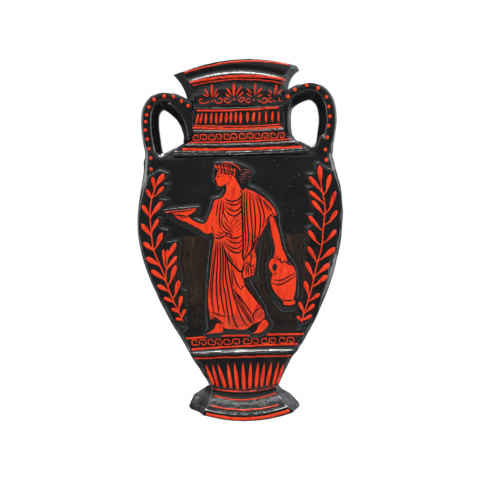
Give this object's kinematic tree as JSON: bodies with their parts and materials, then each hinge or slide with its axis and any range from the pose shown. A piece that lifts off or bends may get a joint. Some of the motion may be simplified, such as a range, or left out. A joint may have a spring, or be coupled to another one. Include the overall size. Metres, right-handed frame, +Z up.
{
  "type": "vase relief magnet",
  "caption": "Flat-backed relief plaque in the shape of a two-handled neck vase, black glaze with red-figure decoration, held to a steel surface by disc magnets in its back.",
  "frame": {"origin": "on the flat back, on the centre line, halfway between the two magnets", "axes": "+Z up the vase from foot to lip, -Y out of the decorated front, +Y out of the flat back, +X to the viewer's right"},
  "size_m": [0.0516, 0.0085, 0.0901],
  "materials": {
    "black_glaze": "gloss",
    "red_figure": "gloss",
    "ferrite": "matte",
    "adhesive": "satin"
  },
  "bodies": {
    "root": {"belly": "black_glaze", "neck": "black_glaze", "lip": "black_glaze", "foot": "black_glaze", "handle_left": "black_glaze", "handle_right": "black_glaze", "figure_sprig": "red_figure", "laurel_left": "red_figure", "laurel_right": "red_figure", "magnet_upper": "ferrite", "magnet_lower": "ferrite", "adhesive_upper": "adhesive", "adhesive_lower": "adhesive"}
  },
  "joints": []
}
